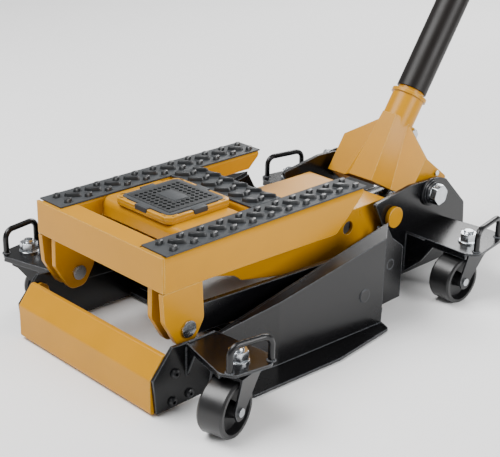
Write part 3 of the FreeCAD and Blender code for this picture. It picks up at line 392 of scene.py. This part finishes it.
def tread(bm, low, high, lengthwise, sizes):
    """One rubber tread: a sheet with repeated rows of oval buttons and tadpole lugs."""
    top = low.z + sizes.sheet_thick
    sheet = block(low, (high.x, high.y, top), edge=0.7 * MM)
    stamp(bm, sheet, UNTURNED, 0)
    sheet.free()
    sunk = 0.3 * MM
    tall = high.z - top + sunk
    shapes = {
        "button": lug(sizes.button_long, sizes.button_wide, tall),
        "tadpole": lug(sizes.tadpole_long, sizes.tadpole_wide, tall,
                       taper=((-0.1, 0.85), (0.05, 0.75), (0.2, 0.85))),
    }
    middle = (low + high) / 2
    span = (high - low).y if lengthwise else (high - low).x
    pitch = sizes.lug_pitch if lengthwise else sizes.cross_pitch
    rows = round(span / pitch)
    pitch = span / rows
    margin = 11 * MM
    for row in range(rows):
        for kind, off, share, turn in (RAIL_LUGS if lengthwise else CROSS_LUGS):
            run = (row + share) * pitch
            if not margin < run < span - margin:
                continue
            if lengthwise:
                place = at(middle.x + off * MM, low.y + run, top - sunk, turn)
            else:
                place = at(low.x + run, middle.y + off * MM, top - sunk, turn)
            # the lugs take the darker rubber finish: painted shade on the same rubber as the sheet
            stamp(bm, shapes[kind], place, 1)
    for shape in shapes.values():
        shape.free()


class JACK_OT_finishes(bpy.types.Operator):
    """Give every kept part of the frame its finish"""
    bl_idname = "jack.finishes"
    bl_label = "Finish the steelwork"

    def execute(self, context):
        FINISHES.clear()
        FINISHES.update(make_finishes(context.scene.jack_colours))
        for part in frame["record"]["subparts"]:
            shown = frame["nodes"][part["node"]]
            shown.data.materials.clear()
            shown.data.materials.append(FINISHES[part["material_slot"]])
        return {"FINISHED"}


class JACK_OT_treads(bpy.types.Operator):
    """Mould the two rail treads and the cross tread of the platform"""
    bl_idname = "jack.treads"
    bl_label = "Rubber treads"

    def execute(self, context):
        sizes = context.scene.jack_sizes
        for node in ("right_rail_pad", "left_rail_pad", "cross_pad"):
            low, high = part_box(node)
            lengthwise = node != "cross_pad"
            bm = bmesh.new()
            tread(bm, low, high, lengthwise, sizes)
            new_piece(bm, node.replace("pad", "tread"), "platform",
                      ["pad_rubber", "shaded_lug_rubber"], (node,))
        return {"FINISHED"}


class JACK_OT_saddle(bpy.types.Operator):
    """Build the lift-out saddle: a cast rim with side notches on a round stem"""
    bl_idname = "jack.saddle"
    bl_label = "Saddle"

    def execute(self, context):
        low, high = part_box("saddle")
        middle = (low + high) / 2
        width = high.x - low.x
        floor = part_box("saddle_pad")[0].z
        foot = high.z - 10.3 * MM
        corner = 12 * MM
        bm = bmesh.new()
        tray = rounded_slab(width - 0.2 * MM, width - 0.2 * MM, foot, floor, corner, 0.0)
        stamp(bm, tray, at(middle.x, middle.y, 0))
        tray.free()
        # the rim stands in four corners, with a notch for the insert's tab in each side
        notch = 13.0 * MM
        outer = width / 2
        inner = outer - 6.3 * MM
        reach = outer - 8 * MM
        sunk = floor - 1 * MM
        top_edge = 1.6 * MM
        arm_a = block((notch, inner, sunk), (reach, outer, high.z), edge=top_edge)
        arm_b = block((inner, notch, sunk), (outer, reach, high.z), edge=top_edge)
        bend = turned([(0, sunk), (corner, sunk), (corner, high.z - top_edge),
                       (11.5 * MM, high.z - 0.5 * MM), (10.4 * MM, high.z), (0, high.z)], 32)
        quarter = bmesh.new()
        stamp(quarter, arm_a, UNTURNED)
        stamp(quarter, arm_b, UNTURNED)
        stamp(quarter, bend, at(outer - corner, outer - corner, 0))
        for turn in range(4):
            stamp(bm, quarter, at(middle.x, middle.y, 0, 90 * turn))
        stem_top = foot + 1 * MM
        stem = turned([(0, low.z), (18 * MM, low.z), (19 * MM, low.z + 1 * MM), (19 * MM, stem_top),
                       (0, stem_top)], 40)
        stamp(bm, stem, at(middle.x, middle.y, 0))
        for shape in (arm_a, arm_b, bend, quarter, stem):
            shape.free()
        new_piece(bm, "saddle_rim", "saddle_unit", ["yellow_paint"], ("saddle",))
        return {"FINISHED"}


class JACK_OT_insert(bpy.types.Operator):
    """Mould the saddle's rubber insert with diamond pits round a plain raised panel"""
    bl_idname = "jack.insert"
    bl_label = "Saddle insert"

    def execute(self, context):
        pitch = context.scene.jack_sizes.pit_pitch
        low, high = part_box("saddle_pad")
        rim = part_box("saddle")
        middle = (low + high) / 2
        width = high.x - low.x
        shoulder = high.z - 1.6 * MM
        bm = bmesh.new()
        plate = rounded_slab(width, width, low.z + 0.1 * MM, shoulder, 9 * MM, 0.9 * MM)
        crown = max(plate.faces, key=lambda face: face.calc_center_median().z)
        bmesh.ops.inset_region(plate, faces=[crown], thickness=6.6 * MM, depth=0.0)
        bmesh.ops.inset_region(plate, faces=[crown], thickness=0.2 * MM, depth=-2.6 * MM)
        stamp(bm, plate, at(middle.x, middle.y, 0), 0)
        plate.free()
        reach = (rim[1].x - rim[0].x) / 2
        tab = block((width / 2 - 6 * MM, -12.4 * MM, rim[1].z - 7 * MM),
                    (reach, 12.4 * MM, shoulder - 0.2 * MM), edge=0.8 * MM)
        for turn in range(4):
            stamp(bm, tab, at(middle.x, middle.y, 0, 90 * turn), 0)
        tab.free()
        # the pitted field: a turned grid whose every other square is pressed in
        field = bmesh.new()
        half = width / 2 - 7 * MM
        count = 2 * math.ceil(half * 1.5 / pitch)
        bmesh.ops.create_grid(field, x_segments=count, y_segments=count, size=count * pitch / 2)
        bmesh.ops.rotate(field, cent=(0, 0, 0), matrix=Matrix.Rotation(math.radians(45), 3, "Z"),
                         verts=field.verts)
        for normal in ((1, 0, 0), (-1, 0, 0), (0, 1, 0), (0, -1, 0)):
            bmesh.ops.bisect_plane(
                field, geom=field.verts[:] + field.edges[:] + field.faces[:], dist=1e-7,
                plane_co=Vector(normal) * half, plane_no=normal, clear_outer=True)
        pits = []
        turn_back = Matrix.Rotation(math.radians(-45), 3, "Z")
        whole = pitch * pitch * 0.95
        for face in field.faces:
            centre = face.calc_center_median()
            cell = turn_back @ centre
            number = round(cell.x / pitch - 0.5) + round(cell.y / pitch - 0.5)
            clear = abs(centre.x) > 21 * MM or abs(centre.y) > 15 * MM
            if number % 2 == 0 and clear and face.calc_area() > whole:
                pits.append(face)
        bmesh.ops.inset_individual(field, faces=pits, thickness=0.5 * MM, depth=0.0)
        bmesh.ops.inset_individual(field, faces=pits, thickness=0.3 * MM, depth=-2.6 * MM)
        edges = [e for e in field.edges if e.is_boundary]
        skirt = bmesh.ops.extrude_edge_only(field, edges=edges)["geom"]
        low_ring = [item for item in skirt if isinstance(item, bmesh.types.BMVert)]
        bmesh.ops.translate(field, vec=(0, 0, -3.3 * MM), verts=low_ring)
        bmesh.ops.holes_fill(field, edges=[e for e in field.edges if e.is_boundary], sides=0)
        # the pitted field takes the darker lug rubber: painted shade on the same rubber as the panel
        stamp(bm, field, at(middle.x, middle.y, shoulder + 0.8 * MM), 1)
        field.free()
        panel = block((-19 * MM, -13 * MM, shoulder), (19 * MM, 13 * MM, high.z), edge=0.5 * MM)
        stamp(bm, panel, at(middle.x, middle.y, 0), 0)
        panel.free()
        new_piece(bm, "saddle_insert", "saddle_unit", ["pad_rubber", "shaded_lug_rubber"],
                  ("saddle_pad",), sharp=30)
        return {"FINISHED"}


# the springs' ends, in millimetres from the platform's front face and up from the floor
SPRING_ACROSS = 66
SPRING_FOOT = Vector((197.0, 22.0))
SPRING_TOP = Vector((330.0, 86.0))


class JACK_OT_springs(bpy.types.Operator):
    """Wind the two return springs from the tie bar to the lift arm"""
    bl_idname = "jack.springs"
    bl_label = "Return springs"

    def execute(self, context):
        sizes = context.scene.jack_sizes
        wire = sizes.spring_wire
        radius = (sizes.spring_width - wire) / 2
        reach = (SPRING_TOP - SPRING_FOOT).length * MM
        eye = 6.4 * MM
        coil_length = reach - 4 * eye
        pitch = wire * 1.12
        turns = int(coil_length / pitch)
        per_turn = 16
        coil = bmesh.new()
        bmesh.ops.create_circle(coil, cap_ends=True, segments=8, radius=wire / 2)
        bmesh.ops.rotate(coil, cent=(0, 0, 0), matrix=Matrix.Rotation(math.radians(90), 3, "X"),
                         verts=coil.verts)
        bmesh.ops.translate(coil, vec=(radius, 0, 2 * eye), verts=coil.verts)
        bmesh.ops.spin(coil, geom=coil.faces[:], cent=(0, 0, 0), axis=(0, 0, 1),
                       dvec=(0, 0, pitch / per_turn), angle=math.tau * turns,
                       steps=per_turn * turns)
        bmesh.ops.holes_fill(coil, edges=[e for e in coil.edges if e.is_boundary], sides=0)
        ring = bmesh.new()
        bmesh.ops.create_circle(ring, cap_ends=False, segments=8, radius=wire / 2)
        bmesh.ops.translate(ring, vec=(eye, 0, 0), verts=ring.verts)
        bmesh.ops.spin(ring, geom=ring.verts[:] + ring.edges[:], cent=(0, 0, 0), axis=(0, 1, 0),
                       angle=math.tau, steps=24, use_merge=True)
        for side, name in ((1, "right_spring"), (-1, "left_spring")):
            start = chassis(SPRING_ACROSS * side, *SPRING_FOOT)
            end = chassis(SPRING_ACROSS * side, *SPRING_TOP)
            bm = bmesh.new()
            stamp(bm, coil, UNTURNED)
            quarter = Matrix.Rotation(math.radians(90), 4, "Z")
            stamp(bm, ring, Matrix.Translation((0, 0, eye * 0.1)) @ quarter)
            stamp(bm, ring,
                  Matrix.Translation((0, 0, 2 * eye + pitch * turns + eye * 0.9)) @ quarter)
            bmesh.ops.transform(bm, matrix=toward(start, end - start), verts=bm.verts)
            piece = new_piece(bm, name, None, ["spring_wire"],
                              ("return_springs",) if side > 0 else ())
            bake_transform(piece)
        coil.free()
        ring.free()
        return {"FINISHED"}


def threaded_end(radius, low, high, pitch):
    """A stud end with a chamfered, threaded tip."""
    profile = [(0, low), (radius, low)]
    height = low + 0.5 * MM
    while height < high - pitch:
        profile.append((radius, height))
        profile.append((radius - pitch * 0.45, height + pitch / 2))
        height += pitch
    profile += [(radius, height), (radius - 1.2 * MM, high), (0, high)]
    return turned(profile, 28)


class JACK_OT_studs(bpy.types.Operator):
    """Fit the caster studs with their nuts and washers"""
    bl_idname = "jack.studs"
    bl_label = "Caster studs and nuts"

    def execute(self, context):
        pitch = context.scene.jack_sizes.thread_pitch
        low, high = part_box("caster_studs")
        bm = bmesh.new()
        nut = hex_head(24 * MM, 13 * MM, 1.7 * MM)
        washer = turned([(0, 0), (15 * MM, 0), (15 * MM, 2.6 * MM), (14.6 * MM, 3 * MM),
                         (0, 3 * MM)], 36)
        stud = threaded_end(7.9 * MM, low.z + 4 * MM, high.z, pitch)
        head = turned([(0, 0), (12 * MM, 0), (12 * MM, 3 * MM), (9 * MM, 4 * MM), (0, 4 * MM)], 32)
        deck = low.z + 16.3 * MM        # top face of the caster arms
        for index, body in enumerate(("front_right", "front_left", "rear_right", "rear_left")):
            joint = next(j for j in frame["joints"] if j["name"] == f"{body}_swivel")
            x, y, _ = joint["pos_m"]
            turn = 17 * index
            stamp(bm, washer, at(x, y, deck))
            stamp(bm, nut, at(x, y, deck + 3 * MM, turn))
            stamp(bm, stud, at(x, y, 0))
            stamp(bm, head, at(x, y, low.z))
        for shape in (nut, washer, stud, head):
            shape.free()
        new_piece(bm, "stud_nuts", "chassis", ["zinc_steel"], ("caster_studs",),
                  sharp=22)
        return {"FINISHED"}


# the washers stacked on each rear plate: start, thickness and width in millimetres
PIVOT_WASHERS = ((0.0, 3.7, 46.0), (4.0, 2.7, 42.0), (7.0, 3.4, 37.0))
REAR_PLATE_FACE = 102 * MM
SHANK_START = 80.2 * MM
# the front bar's bolts: outer face of the side plate, inner face of the bar's end plate, and places
BOLT_FACE = 152
NUT_FACE = 143
BAR_BOLTS = ((6.4, 53.0), (1.6, 13.0), (30.9, 14.5))


class JACK_OT_bolts(bpy.types.Operator):
    """Fit the handle's pivot bolts with washers, and the front bar's button-head bolts"""
    bl_idname = "jack.bolts"
    bl_label = "Pivot and front bar bolts"

    def execute(self, context):
        low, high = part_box("handle_pivot_bolts")
        y = (low.y + high.y) / 2
        z = (low.z + high.z) / 2
        bm = bmesh.new()
        dark = bmesh.new()
        head = hex_head(30 * MM, 12.5 * MM, 2.1 * MM)
        collar = turned([(0, 0), (16 * MM, 0), (16 * MM, 2 * MM), (15 * MM, 2.6 * MM),
                         (0, 2.6 * MM)], 40)
        shank = turned([(0, 0), (10 * MM, 0), (10 * MM, 30 * MM), (0, 30 * MM)], 32)
        for side in RIGHT_AND_LEFT:
            out = (side, 0, 0)
            for start, thick, wide in PIVOT_WASHERS:
                ring = turned([
                    (0, 0), (wide / 2 * MM, 0), (wide / 2 * MM, (thick - 0.5) * MM),
                    ((wide / 2 - 0.6) * MM, thick * MM), (0, thick * MM)], 44)
                stamp(dark, ring,
                      toward(Vector(((REAR_PLATE_FACE + start * MM) * side, y, z)), out))
                ring.free()
            stamp(bm, collar, toward(Vector(((REAR_PLATE_FACE + 10.4 * MM) * side, y, z)), out))
            stamp(bm, head, toward(Vector(((REAR_PLATE_FACE + 11.0 * MM) * side, y, z)), out)
                  @ Matrix.Rotation(math.radians(12), 4, "Z"))
            stamp(bm, shank, toward(Vector((SHANK_START * side, y, z)), out))
        for shape in (head, collar, shank):
            shape.free()
        new_piece(bm, "pivot_bolts", "chassis", ["zinc_steel"],
                  ("handle_pivot_bolts",), sharp=22)
        new_piece(dark, "pivot_washers", "chassis", ["black_fasteners"])

        # button heads: a domed cap with a round socket pressed into it, standing in for the hexagon socket
        bm = bmesh.new()
        dome = turned([(0, 1.2 * MM), (2.6 * MM, 1.2 * MM), (2.6 * MM, 4.4 * MM),
                       (4.2 * MM, 4.3 * MM),
                       (6.2 * MM, 3.0 * MM), (7.0 * MM, 0.8 * MM), (7.0 * MM, -0.5 * MM),
                       (0, -0.5 * MM)], 28)
        shank = turned([(0, -14 * MM), (4 * MM, -14 * MM), (4 * MM, 0), (0, 0)], 20)
        nut = hex_head(12 * MM, 4.5 * MM, 0.9 * MM)
        for side in RIGHT_AND_LEFT:
            for along, up in BAR_BOLTS:
                outside = toward(chassis(BOLT_FACE * side, along, up), (side, 0, 0))
                stamp(bm, dome, outside)
                stamp(bm, shank, outside)
                stamp(bm, nut, toward(chassis(NUT_FACE * side, along, up), (-side, 0, 0)))
        for shape in (dome, shank, nut):
            shape.free()
        new_piece(bm, "button_bolts", "chassis", ["black_fasteners"],
                  ("front_bar_bolts",))
        return {"FINISHED"}


GRIP_ENDS = (957.0, 1120.0)     # millimetres along the handle from its pivot


class JACK_OT_grip(bpy.types.Operator):
    """Mould the ribbed grip at the top of the handle"""
    bl_idname = "jack.grip"
    bl_label = "Handle grip"

    def execute(self, context):
        ribs = context.scene.jack_sizes.grip_ribs
        joint = next(j for j in frame["joints"] if j["name"] == "handle_twist")
        low, high = GRIP_ENDS
        profile = [(0, low), (29.0, low), (29.0, low + 4.5), (27.5, low + 6), (25.0, low + 8)]
        step = (high - low - 26) / ribs
        height = low + 12
        for _ in range(ribs):
            profile += [(25.2, height), (24.0, height + step * 0.15), (24.0, height + step * 0.35),
                        (25.2, height + step * 0.5), (25.4, height + step * 0.75)]
            height += step
        profile += [(25.3, high - 9), (24.6, high - 4), (21.0, high - 0.6), (0, high)]
        bm = turned([(radius * MM, up * MM) for radius, up in profile], 48)
        bmesh.ops.transform(bm, matrix=toward(Vector(joint["pos_m"]), joint["axis"]),
                            verts=bm.verts)
        new_piece(bm, "ribbed_grip", "handle", ["grip_rubber"], ("handle_grip",))
        return {"FINISHED"}


# weld runs on the chassis, in millimetres from the platform's front face, right-hand side
CHASSIS_WELDS = [
    ((102.6, 541.4, 22), (102.6, 541.4, 84)),
    ((103, 543, 86.6), (140, 541.2, 86.6)),
    ((148.5, 471.6, 20), (148.5, 471.6, 94)),
    ((102.8, 465.2, 22), (102.8, 465.2, 110)),
    ((152.4, 25.4, 44), (152.4, 25.4, 84)),
    ((152.6, 30, 90.4), (152.6, 74, 90.4)),
]
LOOP_FEET = [(246, 14), (257, 76), (229, 556), (216, 632)]


class JACK_OT_welds(bpy.types.Operator):
    """Lay the weld beads of the chassis and the carry loops"""
    bl_idname = "jack.welds"
    bl_label = "Weld beads"

    def execute(self, context):
        radius = context.scene.jack_sizes.weld_radius
        ripple = bmesh.new()
        bmesh.ops.create_uvsphere(ripple, u_segments=10, v_segments=6, radius=radius)
        toe = bmesh.new()
        bmesh.ops.create_uvsphere(toe, u_segments=10, v_segments=6, radius=radius)
        bmesh.ops.scale(toe, vec=(1.0, 1.0, 0.8), verts=toe.verts)
        bm = bmesh.new()
        for side in RIGHT_AND_LEFT:
            for first, last in CHASSIS_WELDS:
                start = chassis(first[0] * side, *first[1:])
                end = chassis(last[0] * side, *last[1:])
                steps = max(2, int((end - start).length / (radius * 0.8)))
                for step in range(steps + 1):
                    wobble = 0.88 + 0.12 * math.sin(step * 2.3) + 0.08 * math.sin(step * 0.7)
                    place = Matrix.Translation(start.lerp(end, step / steps))
                    stamp(bm, ripple, place @ Matrix.Scale(wobble, 4))
            for x, y in LOOP_FEET:
                for step in range(12):
                    angle = math.tau * step / 12
                    spot = chassis(x * side + 4.8 * math.cos(angle), y + 4.8 * math.sin(angle),
                                   90.3)
                    stamp(bm, toe, Matrix.Translation(spot))
        ripple.free()
        toe.free()
        new_piece(bm, "weld_beads", "chassis", ["black_paint"], sharp=60)
        return {"FINISHED"}


CAMERA_ANGLES = (45.206, 22.397, 1.315)         # azimuth, elevation and roll in degrees
CAMERA_PLACE = (1134.28, -838.25, 790.50)       # millimetres


class JACK_OT_stage(bpy.types.Operator):
    """Set the pale floor, the soft lights and the camera"""
    bl_idname = "jack.stage"
    bl_label = "Studio"

    def execute(self, context):
        scene = context.scene
        studio = scene.jack_studio
        bm = bmesh.new()
        bmesh.ops.create_grid(bm, x_segments=1, y_segments=1, size=9.0)
        mesh = bpy.data.meshes.new("floor")
        bm.to_mesh(mesh)
        bm.free()
        floor = bpy.data.objects.new("floor", mesh)
        scene.collection.objects.link(floor)
        material = bpy.data.materials.new("Matt studio floor")
        material.use_nodes = True
        shader = material.node_tree.nodes["Principled BSDF"]
        shader.inputs["Base Color"].default_value = scene.jack_colours.floor
        shader.inputs["Roughness"].default_value = 0.9
        shader.inputs["Specular IOR Level"].default_value = 0.1
        mesh.materials.append(material)

        world = bpy.data.worlds.new("studio sky")
        world.use_nodes = True
        world.node_tree.nodes["Background"].inputs["Color"].default_value = (1.0, 1.0, 1.0, 1.0)
        world.node_tree.nodes["Background"].inputs["Strength"].default_value = studio.sky
        scene.world = world

        target = chassis(0, 300, 100)
        lamps = [
            ("key", (-0.9, -1.6, 2.6), 2.2, 1.6, studio.key),
            ("side", (2.6, 0.2, 1.2), 1.6, 1.2, studio.side),
            ("back", (-1.2, 2.4, 1.8), 2.0, 1.0, studio.key * 0.5),
        ]
        for name, spot, wide, tall, power in lamps:
            data = bpy.data.lights.new(name, "AREA")
            data.shape = "RECTANGLE"
            data.size, data.size_y = wide, tall
            data.energy = power
            lamp = bpy.data.objects.new(name, data)
            lamp.location = spot
            lamp.rotation_euler = (target - Vector(spot)).to_track_quat("-Z", "Y").to_euler()
            scene.collection.objects.link(lamp)

        azimuth, elevation, roll = (math.radians(angle) for angle in CAMERA_ANGLES)
        back = Vector((math.sin(azimuth) * math.cos(elevation),
                       -math.cos(azimuth) * math.cos(elevation), math.sin(elevation)))
        level = Vector((math.cos(azimuth), math.sin(azimuth), 0))
        upright = back.cross(level)
        right = level * math.cos(roll) + upright * math.sin(roll)
        up = upright * math.cos(roll) - level * math.sin(roll)
        data = bpy.data.cameras.new("camera")
        data.lens = studio.focal
        data.sensor_width = 36.0
        data.clip_end = 50.0
        camera = bpy.data.objects.new("camera", data)
        matrix = Matrix((right, up, back)).transposed().to_4x4()
        matrix.translation = chassis(*CAMERA_PLACE)
        camera.matrix_world = matrix
        scene.collection.objects.link(camera)
        scene.camera = camera
        return {"FINISHED"}


OPERATORS = [
    JACK_OT_finishes, JACK_OT_treads, JACK_OT_saddle, JACK_OT_insert, JACK_OT_springs,
    JACK_OT_studs, JACK_OT_bolts, JACK_OT_grip, JACK_OT_welds, JACK_OT_stage,
]


class JACK_PT_panel(bpy.types.Panel):
    """Lists the steps that build the jack"""
    bl_idname = "JACK_PT_panel"
    bl_label = "Platform Jack"
    bl_space_type = "VIEW_3D"
    bl_region_type = "UI"
    bl_category = "Jack"

    def draw(self, context):
        for group in (context.scene.jack_sizes, context.scene.jack_colours,
                      context.scene.jack_studio):
            column = self.layout.column(align=True)
            for name in group.__annotations__:
                column.prop(group, name)
        for operator in OPERATORS:
            self.layout.operator(operator.bl_idname)


CLASSES = [JackColours, JackSizes, JackStudio] + OPERATORS + [JACK_PT_panel]


def register():
    for item in CLASSES:
        bpy.utils.register_class(item)
    bpy.types.Scene.jack_colours = PointerProperty(type=JackColours)
    bpy.types.Scene.jack_sizes = PointerProperty(type=JackSizes)
    bpy.types.Scene.jack_studio = PointerProperty(type=JackStudio)


def unregister():
    del bpy.types.Scene.jack_studio
    del bpy.types.Scene.jack_sizes
    del bpy.types.Scene.jack_colours
    for item in reversed(CLASSES):
        bpy.utils.unregister_class(item)


def main():
    register()
    for operator in OPERATORS:
        group, name = operator.bl_idname.split(".")
        getattr(getattr(bpy.ops, group), name)()
    bpy.context.view_layer.update()


if __name__ == "__main__":
    main()
